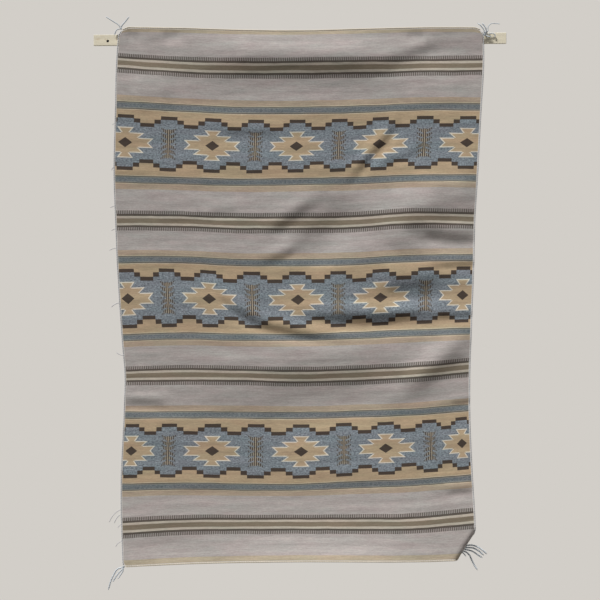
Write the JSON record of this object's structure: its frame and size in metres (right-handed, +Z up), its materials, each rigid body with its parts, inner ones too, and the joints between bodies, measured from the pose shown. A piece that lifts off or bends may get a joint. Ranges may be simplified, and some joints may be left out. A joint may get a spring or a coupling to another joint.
{
  "type": "navajo weaving on a hanging batten",
  "caption": "Flat hand-woven wool tapestry with banded serrated diamonds, edge cords and corner tassels, hanging from a thin wooden batten.",
  "frame": {"origin": "middle of the batten's flat back face, on the wall plane", "axes": "+Z up, +Y out of the batten's back into the wall, +X to the viewer's right; the viewer is at -Y"},
  "size_m": [0.9682, 0.0335, 1.346],
  "materials": {
    "wool_web": "weft-faced wool tapestry weave",
    "edge_yarn": "twined wool cord",
    "tassel_yarn": "loosely plied wool yarn",
    "lath_wood": "planed, unfinished",
    "screw_steel": "black"
  },
  "bodies": {
    "root": {"weaving": "wool_web", "end_cord_top": "edge_yarn", "end_cord_bottom": "edge_yarn", "side_cord_left": "edge_yarn", "side_cord_right": "edge_yarn", "tassel_top_left": "tassel_yarn", "tassel_top_right": "tassel_yarn", "tassel_bottom_left": "tassel_yarn", "tassel_bottom_right": "tassel_yarn", "batten": "lath_wood", "batten_screw": "screw_steel"}
  },
  "joints": []
}
